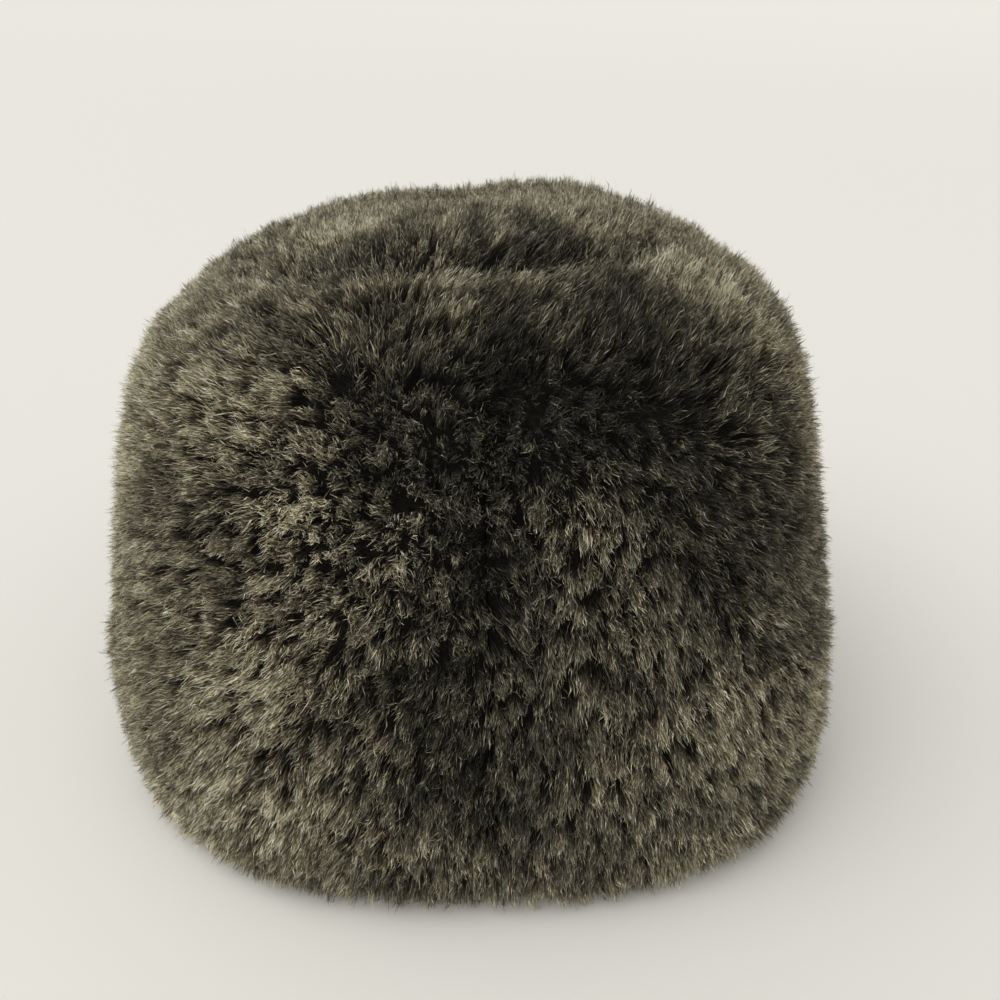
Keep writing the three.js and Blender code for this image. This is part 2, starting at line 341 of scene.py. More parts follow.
def catmull_rom(points, steps):
    """A centripetal Catmull-Rom curve through the points, with that many steps between two of them."""
    first = 2 * points[0] - points[1]
    last = 2 * points[-1] - points[-2]
    all_points = np.vstack([first, points, last])
    pieces = []
    for k in range(1, len(all_points) - 2):
        p0, p1, p2, p3 = all_points[k - 1:k + 3]
        d1, d2, d3 = (max(np.linalg.norm(b - a), 1e-9) ** 0.5 for a, b in ((p0, p1), (p1, p2), (p2, p3)))
        m1 = ((p1 - p0) / d1 - (p2 - p0) / (d1 + d2) + (p2 - p1) / d2) * d2
        m2 = ((p2 - p1) / d2 - (p3 - p1) / (d2 + d3) + (p3 - p2) / d3) * d2
        t = np.arange(steps)[:, None] / steps
        pieces.append(
            p1 + m1 * t + (-3 * p1 + 3 * p2 - 2 * m1 - m2) * t**2 + (2 * p1 - 2 * p2 + m1 + m2) * t**3
        )
    return np.vstack(pieces + [points[-1:]])


CURVE_STEPS = 40
PLAN_STEPS = 1440
SHIFT_STEPS = (360, 199)
side_view = catmull_rom(
    np.array([[row["girth"] * MEAN_RADIUS, row["level"] * HAT_HEIGHT] for row in SECTIONS]), CURVE_STEPS
)
side_steps = np.linalg.norm(np.diff(side_view, axis=0), axis=1)
side_lengths = np.concatenate([[0], np.cumsum(side_steps)])
side_slopes = np.gradient(side_view, side_lengths, axis=0)
LENGTH_TO_TOP = side_lengths[-1]
LENGTH_TO_WIDEST = side_lengths[WIDEST_ROW * CURVE_STEPS]
LENGTH_TO_CROWN = side_lengths[CROWN_SEAM_ROW * CURVE_STEPS]


def plan_reach(angle):
    """How far the rounded square of the plan reaches at an angle, where a circle reaches 1."""
    power = PLAN_SQUARENESS
    return (np.abs(np.cos(angle)) ** power + np.abs(np.sin(angle)) ** power) ** (-1 / power)


def plan_table():
    """Angles round the plan, and the share of its whole length at which each lies."""
    angles = np.linspace(0, 2 * math.pi, PLAN_STEPS + 1)
    reach = plan_reach(angles)
    x = HALF_WIDTH * reach * np.cos(angles)
    y = HALF_DEPTH * reach * np.sin(angles)
    lengths = np.concatenate([[0], np.cumsum(np.hypot(np.diff(x), np.diff(y)))])
    return angles, lengths / lengths[-1], lengths[-1]


PLAN_ANGLES, PLAN_SHARES, PLAN_LENGTH = plan_table()


def outline(angle, length):
    """Points of the smooth outline before the hat settles, the direction straight out of it, and the two
    directions along it: round the plan anticlockwise, and up the side view.
    """
    girth = np.interp(length, side_lengths, side_view[:, 0]) / MEAN_RADIUS
    level = np.interp(length, side_lengths, side_view[:, 1])
    widening = np.interp(length, side_lengths, side_slopes[:, 0])
    rising = np.interp(length, side_lengths, side_slopes[:, 1])
    cos = np.cos(angle)
    sin = np.sin(angle)
    reach = plan_reach(angle)
    plan = np.stack([HALF_WIDTH * reach * cos, HALF_DEPTH * reach * sin], -1)
    power = PLAN_SQUARENESS - 1
    across = np.stack([
        np.sign(cos) * np.abs(cos) ** power / HALF_WIDTH,
        np.sign(sin) * np.abs(sin) ** power / HALF_DEPTH,
    ], -1)
    across /= np.linalg.norm(across, axis=-1, keepdims=True)
    lean = widening / MEAN_RADIUS * (plan * across).sum(-1)
    out = np.concatenate([across * rising[:, None], -lean[:, None]], -1)
    out /= np.linalg.norm(out, axis=-1, keepdims=True)
    around = np.stack([-across[:, 1], across[:, 0], np.zeros(len(across))], -1)
    up = np.cross(out, around)
    point = np.concatenate([plan * girth[:, None], level[:, None]], -1)
    return point, out, around, up


def settle(points):
    """The settled hat: its top has shifted, tilts and is arched, and nothing moves at the floor."""
    rise = points[:, 2] / HAT_HEIGHT
    tilt = TOP_TILT * points[:, 0] / HAT_WIDTH
    arch = TOP_ARCH * (points[:, 1] / HALF_DEPTH) ** 2
    moved = points.copy()
    moved[:, 0] += TOP_SHIFT * rise
    moved[:, 2] += (tilt + arch) * rise**2
    return moved


def middle_shift():
    """How far the solids were moved so that the middle of their outline stands over the origin."""
    angles = np.linspace(0, 2 * math.pi, SHIFT_STEPS[0] + 1)
    lengths = np.linspace(0, LENGTH_TO_CROWN, SHIFT_STEPS[1] + 1)
    angle, length = np.meshgrid(angles, lengths)
    points = settle(outline(angle.ravel(), length.ravel())[0])
    return -(points.max(0) + points.min(0)) / 2 * np.array([1, 1, 0])


MIDDLE_SHIFT = middle_shift()


def placed(points):
    """Points of the unsettled hat, where they lie in the frame."""
    return settle(points) + MIDDLE_SHIFT


def parted_by(distance, width, depth):
    """A depth that fades with the distance, over about that width."""
    return depth * np.exp(-((distance / width) ** 2))


def aside_and_up(row, angle, point):
    """How far points lie from the place of a row, round the hat towards +X and upwards."""
    turn = angle - FRONT - math.radians(row["around"])
    return np.arctan2(np.sin(turn), np.cos(turn)) * MEAN_RADIUS, point[:, 2] - row["level"] * HAT_HEIGHT


def near_parting(row, angle, point):
    """How near points are to a parting's line, from 0 to 1, and how far above the line they lie."""
    aside, up = aside_and_up(row, angle, point)
    slant = math.radians(row["slant"])
    along = aside * math.cos(slant) + up * math.sin(slant)
    off = up * math.cos(slant) - aside * math.sin(slant)
    past = np.maximum(0, np.abs(along) - row["run"] * HAT_HEIGHT / 2)
    return parted_by(np.hypot(off, past), row["width"] * HAT_HEIGHT, 1), off


def parting(angle, length, point):
    """How far the pile lies below its outline, as a share of its length."""
    depth = parted_by(np.abs(length - LENGTH_TO_CROWN), SEAM_PARTING_WIDTH, CROWN_SEAM_PARTING)
    is_band = length < LENGTH_TO_CROWN
    fade = np.clip(point[:, 2] / SEAM_FADE_HEIGHT, SEAM_FADE_LEAST, 1)
    seam = parted_by(point[:, 0], SEAM_PARTING_WIDTH, BAND_SEAM_PARTING) * fade
    depth = np.maximum(depth, np.where(is_band, seam, 0))
    off = np.hypot(point[:, 0] / HALF_WIDTH - CROWN_DENT["x"], point[:, 1] / HALF_DEPTH - CROWN_DENT["y"])
    dent = parted_by(off, CROWN_DENT["reach"], CROWN_DENT["depth"])
    depth = np.maximum(depth, np.where(is_band, 0, dent))
    for row in PARTINGS:
        depth = np.maximum(depth, near_parting(row, angle, point)[0] * row["depth"])
    return depth


# Seeded noise over the hat, from whole numbers that are mixed for each cell

NOISE_STEPS = np.array([73856093, 19349663, 83492791])
NOISE_SEED_STEP = 2654435
NOISE_MIXER = 1274126177
NOISE_LARGEST = 0x7FFFFFFF
NOISE_SHIFT = 17.31


def noise(points, size, seed):
    """Smooth noise from -1 to 1 over points in space, with features of about that size."""
    scaled = points / size + seed * NOISE_SHIFT
    cell = np.floor(scaled).astype(np.int64)
    part = scaled - cell
    part = part * part * (3 - 2 * part)
    total = np.zeros(len(points))
    for corner in range(8):
        step = np.array([corner & 1, corner >> 1 & 1, corner >> 2 & 1])
        place = (cell + step) * NOISE_STEPS
        mixed = place[:, 0] ^ place[:, 1] ^ place[:, 2] ^ (seed * NOISE_SEED_STEP)
        mixed = (mixed ^ (mixed >> 13)) * NOISE_MIXER & NOISE_LARGEST
        value = mixed / (NOISE_LARGEST // 2) - 1
        weight = np.prod(np.where(step == 1, part, 1 - part), axis=1)
        total += weight * value
    return total


def layered_noise(points, layers):
    """Noise of several sizes in one, each with its strength."""
    return sum(row["strength"] * noise(points, row["size"], row["seed"]) for row in layers)


# Meshes from arrays

def mesh_object(name, points, faces, material, smooth=True, inside=None):
    """A mesh object from arrays: points by rows of three, and faces by rows of three or four.

    The second group of faces has the inside's material, where one is given.
    """
    mesh = bpy.data.meshes.new(name)
    sizes = np.concatenate([np.full(len(rows), rows.shape[1]) for rows in faces])
    corners = np.concatenate([rows.ravel() for rows in faces])
    mesh.vertices.add(len(points))
    mesh.vertices.foreach_set("co", points.astype(np.float32).ravel())
    mesh.loops.add(len(corners))
    mesh.loops.foreach_set("vertex_index", corners.astype(np.int32))
    mesh.polygons.add(len(sizes))
    starts = np.concatenate([[0], np.cumsum(sizes)[:-1]])
    mesh.polygons.foreach_set("loop_start", starts.astype(np.int32))
    mesh.polygons.foreach_set("use_smooth", np.full(len(sizes), smooth))
    mesh.materials.append(material)
    if inside:
        mesh.materials.append(inside)
        slots = np.concatenate([np.full(len(rows), int(k == 1)) for k, rows in enumerate(faces)])
        mesh.polygons.foreach_set("material_index", slots.astype(np.int32))
    mesh.update(calc_edges=True)
    made = bpy.data.objects.new(name, mesh)
    bpy.context.scene.collection.objects.link(made)
    return made


def grid_faces(rows, columns):
    """The quads of a grid whose rows are closed into rings."""
    row, column = np.meshgrid(np.arange(rows - 1), np.arange(columns), indexing="ij")
    after = (column + 1) % columns
    low = row * columns
    high = low + columns
    return np.stack([low + column, low + after, high + after, high + column], -1).reshape(-1, 4)


def field_faces(rows, columns):
    """The quads of an open grid."""
    row, column = np.meshgrid(np.arange(rows - 1), np.arange(columns - 1), indexing="ij")
    first = (row * columns + column).ravel()
    return np.stack([first, first + 1, first + columns + 1, first + columns], -1)


def split_quads(quads):
    """Two triangles for each quad."""
    return np.vstack([quads[:, [0, 1, 2]], quads[:, [0, 2, 3]]])


# Materials

def new_material(name):
    material = bpy.data.materials.new(name)
    material.use_nodes = True
    tree = material.node_tree
    tree.nodes.clear()
    return material, tree


def add_node(tree, kind, **values):
    node = tree.nodes.new(kind)
    for key, value in values.items():
        setattr(node, key, value)
    return node


def set_inputs(node, values):
    for name, value in values.items():
        node.inputs[name].default_value = value


def ramp_node(tree, stops):
    node = add_node(tree, "ShaderNodeValToRGB")
    elements = node.color_ramp.elements
    while len(elements) < len(stops):
        elements.new(0.5)
    for element, (place, color) in zip(elements, stops):
        element.position = place
        element.color = (*color, 1)
    return node


def grain_node(tree, place, scale, detail):
    """Fine noise over the object."""
    node = add_node(tree, "ShaderNodeTexNoise")
    set_inputs(node, {"Scale": scale, "Detail": detail})
    tree.links.new(place.outputs["Object"], node.inputs["Vector"])
    return node


def bump_node(tree, grain, strength, distance):
    node = add_node(tree, "ShaderNodeBump")
    set_inputs(node, {"Strength": strength, "Distance": distance})
    tree.links.new(grain.outputs["Fac"], node.inputs["Height"])
    return node


def finish_material(tree, shader):
    output = add_node(tree, "ShaderNodeOutputMaterial")
    tree.links.new(shader, output.inputs["Surface"])


def wool_scale(tree, split):
    """How bright a strand is at a point: its tone, with the crimp's painted bars of highlight and shade, as a
    power of e.
    """
    link = tree.links.new
    tone = add_node(tree, "ShaderNodeMapRange", clamp=False)
    set_inputs(tone, {"To Min": TONE_SCALE[0], "To Max": TONE_SCALE[1]})
    link(split.outputs["Green"], tone.inputs["Value"])
    phase = add_node(tree, "ShaderNodeMath", operation="MULTIPLY")
    phase.inputs[1].default_value = CRIMP_SHIFT
    link(split.outputs["Blue"], phase.inputs[0])
    turn = add_node(tree, "ShaderNodeMath", operation="MULTIPLY_ADD")
    turn.inputs[1].default_value = CRIMPS * 2 * math.pi
    link(split.outputs["Red"], turn.inputs[0])
    link(phase.outputs["Value"], turn.inputs[2])
    wave = add_node(tree, "ShaderNodeMath", operation="SINE")
    link(turn.outputs["Value"], wave.inputs[0])
    # Painted highlight and shade: paler and darker bars along the strand for its crimp
    barred = add_node(tree, "ShaderNodeMath", operation="MULTIPLY_ADD")
    barred.inputs[1].default_value = CRIMP_GLINT_CONTRAST
    link(wave.outputs["Value"], barred.inputs[0])
    link(tone.outputs["Result"], barred.inputs[2])
    scale = add_node(tree, "ShaderNodeMath", operation="EXPONENT")
    link(barred.outputs["Value"], scale.inputs[0])
    return scale


def wool_color(tree):
    """A strand's colour, from its shades: red is the share of its height, green its tone, blue its tint."""
    link = tree.links.new
    strand = add_node(tree, "ShaderNodeAttribute", attribute_name="strand")
    split = add_node(tree, "ShaderNodeSeparateColor")
    link(strand.outputs["Color"], split.inputs["Color"])
    # The shade by height: darker towards the root, partly painted shade deep in the pile
    shade = ramp_node(tree, WOOL_SHADES)
    link(split.outputs["Red"], shade.inputs["Fac"])
    tint = ramp_node(tree, WOOL_TINTS)
    link(split.outputs["Blue"], tint.inputs["Fac"])
    tinted = add_node(tree, "ShaderNodeVectorMath", operation="MULTIPLY")
    link(shade.outputs["Color"], tinted.inputs[0])
    link(tint.outputs["Color"], tinted.inputs[1])
    scale = wool_scale(tree, split)
    toned = add_node(tree, "ShaderNodeVectorMath", operation="SCALE")
    link(tinted.outputs["Vector"], toned.inputs[0])
    link(scale.outputs["Value"], toned.inputs["Scale"])
    limited = add_node(tree, "ShaderNodeVectorMath", operation="MINIMUM")
    limited.inputs[1].default_value = WOOL_PALEST
    link(toned.outputs["Vector"], limited.inputs[0])
    return limited.outputs["Vector"]


def fur_material():
    """Wool strands: dark at the root, partly painted shade deep in the pile, grey-brown along, paler at the
    tip, each a little its own.
    """
    material, tree = new_material("wool_pile")
    color = wool_color(tree)
    surface = add_node(tree, "ShaderNodeBsdfPrincipled")
    set_inputs(surface, {
        "Roughness": 0.5,
        "Specular IOR Level": 0.35,
        "Sheen Weight": 0.15,
        "Sheen Roughness": 0.5,
    })
    tree.links.new(color, surface.inputs["Base Color"])
    through = add_node(tree, "ShaderNodeBsdfTranslucent")
    tree.links.new(color, through.inputs["Color"])
    mix = add_node(tree, "ShaderNodeMixShader")
    mix.inputs["Fac"].default_value = WOOL_THROUGH
    tree.links.new(surface.outputs["BSDF"], mix.inputs[1])
    tree.links.new(through.outputs["BSDF"], mix.inputs[2])
    finish_material(tree, mix.outputs["Shader"])
    return material


def underfur_material():
    """The dense underfur between the strands, nearly black, partly as painted shade deep in the pile."""
    material, tree = new_material("underfur")
    place = add_node(tree, "ShaderNodeTexCoord")
    grain = grain_node(tree, place, scale=900, detail=3)
    shade = ramp_node(tree, UNDERFUR_SHADES)
    tree.links.new(grain.outputs["Fac"], shade.inputs["Fac"])
    surface = add_node(tree, "ShaderNodeBsdfPrincipled")
    set_inputs(surface, {"Roughness": 1.0, "Specular IOR Level": 0.1})
    tree.links.new(shade.outputs["Color"], surface.inputs["Base Color"])
    bump = bump_node(tree, grain, strength=0.8, distance=0.001)
    tree.links.new(bump.outputs["Normal"], surface.inputs["Normal"])
    finish_material(tree, surface.outputs["BSDF"])
    return material


def hide_material():
    """The bare inner side of the hide: pale tan and matt, with a fine nap."""
    material, tree = new_material("hide")
    place = add_node(tree, "ShaderNodeTexCoord")
    patches = grain_node(tree, place, scale=35, detail=5)
    shade = ramp_node(tree, HIDE_SHADES)
    tree.links.new(patches.outputs["Fac"], shade.inputs["Fac"])
    surface = add_node(tree, "ShaderNodeBsdfPrincipled")
    set_inputs(surface, {"Roughness": 0.95, "Specular IOR Level": 0.2, "Sheen Weight": 0.3})
    tree.links.new(shade.outputs["Color"], surface.inputs["Base Color"])
    nap = grain_node(tree, place, scale=1400, detail=2)
    bump = bump_node(tree, nap, strength=0.4, distance=0.0004)
    tree.links.new(bump.outputs["Normal"], surface.inputs["Normal"])
    finish_material(tree, surface.outputs["BSDF"])
    return material


def plain_material(name, color, roughness):
    material, tree = new_material(name)
    surface = add_node(tree, "ShaderNodeBsdfPrincipled")
    set_inputs(surface, {"Base Color": (*color, 1), "Roughness": roughness})
    finish_material(tree, surface.outputs["BSDF"])
    return material


# The pelts: hide and underfur in one closed shell for each piece of the hat

def shell_rims(rows, columns):
    """The quads that close the four sides of a shell, between its outer grid and the inner one after it."""
    count = rows * columns
    low = np.arange(columns - 1)
    high = low + (rows - 1) * columns
    left = np.arange(rows - 1) * columns
    right = left + columns - 1
    return np.concatenate([
        np.stack([low + count, low + count + 1, low + 1, low], -1),
        np.stack([high, high + 1, high + count + 1, high + count], -1),
        np.stack([left, left + columns, left + columns + count, left + count], -1),
        np.stack([right + count, right + columns + count, right + columns, right], -1),
    ])


def pelt(name, angles, lengths, material, inside):
    """A closed shell between two angles and two lengths up the side view."""
    columns = len(angles)
    grid_angle = np.tile(angles, len(lengths))
    grid_length = np.repeat(lengths, columns)
    point, out, _, _ = outline(grid_angle, grid_length)
    out[:, 2] = np.maximum(out[:, 2], 0)
    out /= np.linalg.norm(out, axis=-1, keepdims=True)
    pressed = parting(grid_angle, grid_length, point) * PILE
    outer = point - out * (UNDERFUR_DEPTH + pressed)[:, None]
    widest = outline(grid_angle, np.maximum(grid_length, LENGTH_TO_WIDEST))
    inner = widest[0] - widest[1] * (PILE + HIDE)
    is_low = grid_length < LENGTH_TO_WIDEST
    inner[is_low, 2] *= (grid_length / LENGTH_TO_WIDEST)[is_low]
    outer[:, 2] = np.maximum(outer[:, 2], PELT_LIFT)
    inner[:, 2] = np.maximum(inner[:, 2], PELT_LIFT)
    outer_faces = field_faces(len(lengths), columns)
    inner_faces = outer_faces[:, ::-1] + len(outer)
    rims = shell_rims(len(lengths), columns)
    points = placed(np.vstack([outer, inner]))
    return mesh_object(name, points, [outer_faces, inner_faces, rims], material, inside=inside)


def crown_pelt(name, material, inside):
    """The closed shell of the crown, from its seam to a cap at the top."""
    columns = CROWN_COLUMNS
    lengths = np.linspace(LENGTH_TO_CROWN + SEAM_GAP / 2, LENGTH_TO_TOP * PELT_TOP_SHARE, CROWN_ROWS)
    angles = np.arange(columns) / columns * 2 * math.pi
    grid_angle = np.tile(angles, len(lengths))
    grid_length = np.repeat(lengths, columns)
    point, out, _, _ = outline(grid_angle, grid_length)
    pressed = parting(grid_angle, grid_length, point) * PILE
    outer = point - out * (UNDERFUR_DEPTH + pressed)[:, None]
    inner = point - out * (PILE + HIDE)
    rows = len(lengths)
    count = rows * columns
    around = np.arange(columns)
    after = (around + 1) % columns
    rim = np.stack([around + count, after + count, after, around], -1)
    top = (rows - 1) * columns
    poles = np.array([outer[top:].mean(0), inner[top:].mean(0)])
    cap = np.stack([top + around, top + after, np.full(columns, 2 * count)], -1)
    inner_cap = np.stack([top + after + count, top + around + count, np.full(columns, 2 * count + 1)], -1)
    points = placed(np.vstack([outer, inner, poles]))
    sides = grid_faces(rows, columns)
    inner_faces = split_quads(sides[:, ::-1] + count)
    return mesh_object(
        name, points, [sides, np.vstack([inner_faces, inner_cap]), rim, cap], material, inside=inside
    )


# The pile

def plan_angle(share):
    """The angle that lies at a share of the way round the plan."""
    return np.interp(share % 1.0, PLAN_SHARES, PLAN_ANGLES)


def girth_at(length):
    """The girth at a length up the side view, as a share of the widest."""
    return np.interp(length, side_lengths, side_view[:, 0]) / MEAN_RADIUS


def clump_places(from_share, to_share, from_length, to_length, random):
    """Shares of the way round and lengths up the side view of clumps, about evenly spaced over a region."""
    shares = []
    lengths = []
    for row in range(int(round((to_length - from_length) / CLUMP_SPACING))):
        length = from_length + (row + 0.5) * CLUMP_SPACING
        count = max(1, int(round(girth_at(length) * PLAN_LENGTH * (to_share - from_share) / CLUMP_SPACING)))
        place = (np.arange(count) + random.uniform(*CLUMP_JITTER_ROUND, count)) / count
        shares.append(from_share + place * (to_share - from_share))
        lengths.append(length + random.uniform(*CLUMP_JITTER_UP, count) * CLUMP_SPACING)
    return np.concatenate(shares), np.concatenate(lengths)


def near_row(row, angle, point):
    """How near points are to the place of a row, from 0 to 1."""
    return parted_by(np.hypot(*aside_and_up(row, angle, point)), row["reach"] * HAT_HEIGHT, 1)


def comb(angle, point):
    """How far the tips lean along the outline, as shares of the strand: round the plan, and up."""
    turn = np.arctan2(np.sin(angle - FRONT), np.cos(angle - FRONT))
    level = point[:, 2] / HAT_HEIGHT
    aside = SIDE_LEAN * np.sin(turn)
    up = np.interp(level, [row["level"] for row in UP_LEAN], [row["lean"] for row in UP_LEAN])
    for row in COMBING:
        near = near_row(row, angle, point)
        aside = aside + row["aside"] * near
        up = up + row["up"] * near
    for row in PARTINGS:
        near, off = near_parting(row, angle, point)
        away = PARTING_LEAN * row["depth"] * near * np.tanh(off / PARTING_TURN)
        slant = math.radians(row["slant"])
        aside = aside - away * math.sin(slant)
        up = up + away * math.cos(slant)
    return aside + layered_noise(point, ASIDE_NOISE), up + layered_noise(point, UP_NOISE)


def tone_at(angle, point):
    """How pale the pile is, from about 0 to about 1, with painted light and shade in some of its patches."""
    tone = MIDDLE_TONE + layered_noise(point, TONE_NOISE)
    for row in LIGHT_SHADE_AND_TONE_PATCHES:
        tone = tone + row["tone"] * near_row(row, angle, point)
    return tone


def cleft(angle, point):
    """How deep in a cleft between two locks the pile is, from 0 to 1."""
    middle = noise(point * np.array([1, 1, LOCK_FLATNESS]), LOCK_SIZE, LOCK_SEED)
    share = CLEFT_ELSEWHERE + (1 - CLEFT_ELSEWHERE) * near_row(LOCKS, angle, point)
    return parted_by(middle, CLEFT_WIDTH, 1) * share


def under_edge(point, out, around, length):
    """Move what lies below the outline's start in under the lower edge, to point down and out there."""
    under = np.maximum(-length, 0)[:, None]
    across = np.cross(around, [0.0, 0.0, 1.0])
    point = point - across * under
    turned = np.clip(under / UNDER_TURN, 0, 1)
    out = out * (1 - turned) + (across * UNDER_OUTWARD - np.array([0.0, 0.0, 1.0])) * turned
    out /= np.linalg.norm(out, axis=1, keepdims=True)
    return point, out, np.cross(out, around)


# A strand's four points are its base, the two sides of its middle and its tip. They make two triangles, and
# lie like this in the strand's own cell of the bake.
STRAND_CORNERS = np.array([[0, 2, 1, 1, 2, 3]])
STRAND_CELL = np.array([[0.5, 0.1], [0.15, 0.5], [0.85, 0.5], [0.5, 0.9]])


def strand_mesh(name, strands, shade, material):
    """One joined mesh of strands, with their shades, and for each its own place in a bake."""
    points = placed(strands.reshape(-1, 3))
    points[:, 2] = np.maximum(points[:, 2], STRAND_LIFT)
    first = np.arange(len(strands))[:, None] * 4
    faces = (first + STRAND_CORNERS).reshape(-1, 3)
    made = mesh_object(name, points, [faces], material, smooth=False)
    layer = made.data.color_attributes.new("strand", "FLOAT_COLOR", "POINT")
    layer.data.foreach_set("color", shade.astype(np.float32).ravel())
    number = np.arange(len(strands))
    cells = math.ceil(math.sqrt(len(number)))
    cell = np.stack([number % cells, number // cells], -1)[:, None]
    place = (cell + STRAND_CELL).reshape(-1, 2) / cells
    uv_map = made.data.uv_layers.new(name="OFBake")
    uv_map.data.foreach_set("uv", place[faces.ravel()].astype(np.float32).ravel())
    return made


def disc(count, reach, random):
    """Random places in a disc, as their offsets to the side and up."""
    turn = random.uniform(0, 2 * math.pi, count)
    away = reach * np.sqrt(random.uniform(0, 1, count))
    return away * np.cos(turn), away * np.sin(turn)


def per_wisp(rows):
    return np.repeat(rows, WISPS_PER_CLUMP, axis=0)


def varied(clumps, by_clump, by_wisp, random):
    """Random differences between clumps and between the wisps in them."""
    shared = per_wisp(random.normal(0, by_clump, clumps))
    return shared + random.normal(0, by_wisp, len(shared))


def wisp_stature(clumps, pressed, edge, in_cleft, random):
    """How high each wisp stands above its root."""
    stature = ROOT_DEPTH - pressed * (1 - ROOT_PRESSED)
    stature = stature - per_wisp(np.abs(random.normal(0, CLUMP_SHORTFALL, clumps)))
    stature = stature - np.abs(random.normal(0, WISP_SHORTFALL, len(stature))) + STATURE_GAIN
    return stature - edge * CLUMP_DOME + CLUMP_DOME / 3 - in_cleft * CLEFT_DEPTH


def wisps_in(region, random):
    """The wisps of a region: root, reach from there to the tip, directions out, round and up, and tone."""
    clump_share, clump_length = clump_places(*region, random)
    clumps = len(clump_share)
    off_round, off_up = disc(clumps * WISPS_PER_CLUMP, CLUMP_REACH, random)
    edge = (off_round**2 + off_up**2) / CLUMP_REACH**2
    broad = per_wisp(random.uniform(*CLUMP_BREADTH, clumps))
    off_round = off_round * broad
    off_up = off_up * broad
    length = np.minimum(per_wisp(clump_length) + off_up, LENGTH_TO_TOP * PILE_TOP_SHARE)
    upward = np.maximum(length, 0)
    girth = np.maximum(girth_at(upward), LEAST_GIRTH)
    angle = plan_angle(per_wisp(clump_share) + off_round / (PLAN_LENGTH * girth))
    point, out, around, up = outline(angle, upward)
    point, out, up = under_edge(point, out, around, length)
    lean_aside, lean_up = comb(angle, point)
    lean_aside = (lean_aside + varied(clumps, CLUMP_LEAN, WISP_LEAN, random))[:, None]
    lean_up = (lean_up + varied(clumps, CLUMP_LEAN, WISP_LEAN, random))[:, None]
    pressed = parting(angle, upward, point) * PILE
    in_cleft = cleft(angle, point)
    stature = wisp_stature(clumps, pressed, edge, in_cleft, random)[:, None]
    gather = -(around * off_round[:, None] + up * off_up[:, None]) * CLUMP_GATHER
    root = point - out * (ROOT_DEPTH + pressed * ROOT_PRESSED)[:, None]
    leaning = out + around * lean_aside + up * lean_up
    reach = leaning * (stature / np.sqrt(1 + lean_aside**2 + lean_up**2)) + gather
    tone = tone_at(angle, point) + varied(clumps, CLUMP_TONE_SPREAD, WISP_TONE_SPREAD, random)
    # Painted shade: strands at a clump's edge and in a cleft are darkened
    tone = tone - CLUMP_EDGE_PAINTED_SHADE * edge - CLEFT_PAINTED_SHADE * in_cleft
    return root, reach, out, around, up, tone


def stray(tip, out, random):
    """How far tips stray: more along the hat than out of it, for a soft outline, and less near the floor."""
    is_far = random.uniform(0, 1, (len(tip), 1)) < FAR_STRAY_SHARE
    free = np.clip(tip[:, 2:] / FREE_HEIGHT, FREE_LEAST, 1)
    step = random.normal(0, 1, out.shape)
    step = step - out * (step * out).sum(1, keepdims=True) * STRAY_KEPT_IN
    return step * np.where(is_far, FAR_STRAY, STRAY) * free


def across_of(along, random):
    """Unit vectors across each strand, turned at random about it."""
    side = np.cross(along, random.normal(0, 1, along.shape))
    return side / np.linalg.norm(side, axis=1, keepdims=True)


def strand_points(root, reach, out, around, up, strands_per_wisp, random):
    """Each strand's four points, whether it is bright, and the share of its wisp's height it starts at."""
    strands = len(root) * strands_per_wisp

    def per_strand(rows):
        return np.repeat(rows, strands_per_wisp, axis=0)

    off_round, off_up = disc(strands, WISP_REACH, random)
    offset = per_strand(around) * off_round[:, None] + per_strand(up) * off_up[:, None]
    is_bright = random.uniform(0, 1, strands) < BRIGHT_SHARE
    start = np.where(is_bright, BRIGHT_START, random.uniform(*STARTS, strands))[:, None]
    tall = random.normal(1, TALL_SPREAD, strands)[:, None]
    base = per_strand(root) + per_strand(reach) * start + offset * (1 - WISP_GATHER * start)
    tip = per_strand(root) + per_strand(reach) * tall + offset * (1 - WISP_GATHER)
    tip = tip + stray(tip, per_strand(out), random)
    bend = per_strand(random.normal(0, WISP_BEND, root.shape)) + random.normal(0, STRAND_BEND, tip.shape)
    middle = base + (tip - base) * STRAND_MIDDLE + bend
    width = np.where(is_bright, BRIGHT_WIDTH, random.uniform(*WIDTHS, strands))[:, None]
    side = across_of(tip - base, random) * width * LONE_HALF_WIDTH / math.sqrt(strands_per_wisp)
    return np.stack([base, middle - side, middle + side, tip], 1), is_bright, start


def strand_shades(tone, is_bright, start, random):
    """The shades at each strand's four points: the share of its height, its tone and its tint."""
    strands = len(start)
    shade = np.ones((strands, 4, 4))
    height = start + (1 - start) * STRAND_MIDDLE
    shade[:, :, 0] = np.hstack([start, height, height, np.ones((strands, 1))])
    own = tone + random.normal(0, STRAND_TONE_SPREAD, strands)
    # Bright strands: paler guard hairs and painted glints
    own = np.where(is_bright, BRIGHT_TONE + BRIGHT_OWN_TONE * own, own)
    shade[:, :, 1] = np.clip(own, *TONE_LIMITS)[:, None]
    shade[:, :, 2] = random.uniform(0, 1, strands)[:, None]
    return shade


def pile(name, region, strands_per_wisp, material, seed):
    """The strands of one part of the hat, gathered into wisps and clumps."""
    random = np.random.default_rng(seed)
    *wisps, tone = wisps_in(region, random)
    points, is_bright, start = strand_points(*wisps, strands_per_wisp, random)
    shade = strand_shades(np.repeat(tone, strands_per_wisp), is_bright, start, random)
    return strand_mesh(name, points, shade, material)


# The stage, the light and the camera

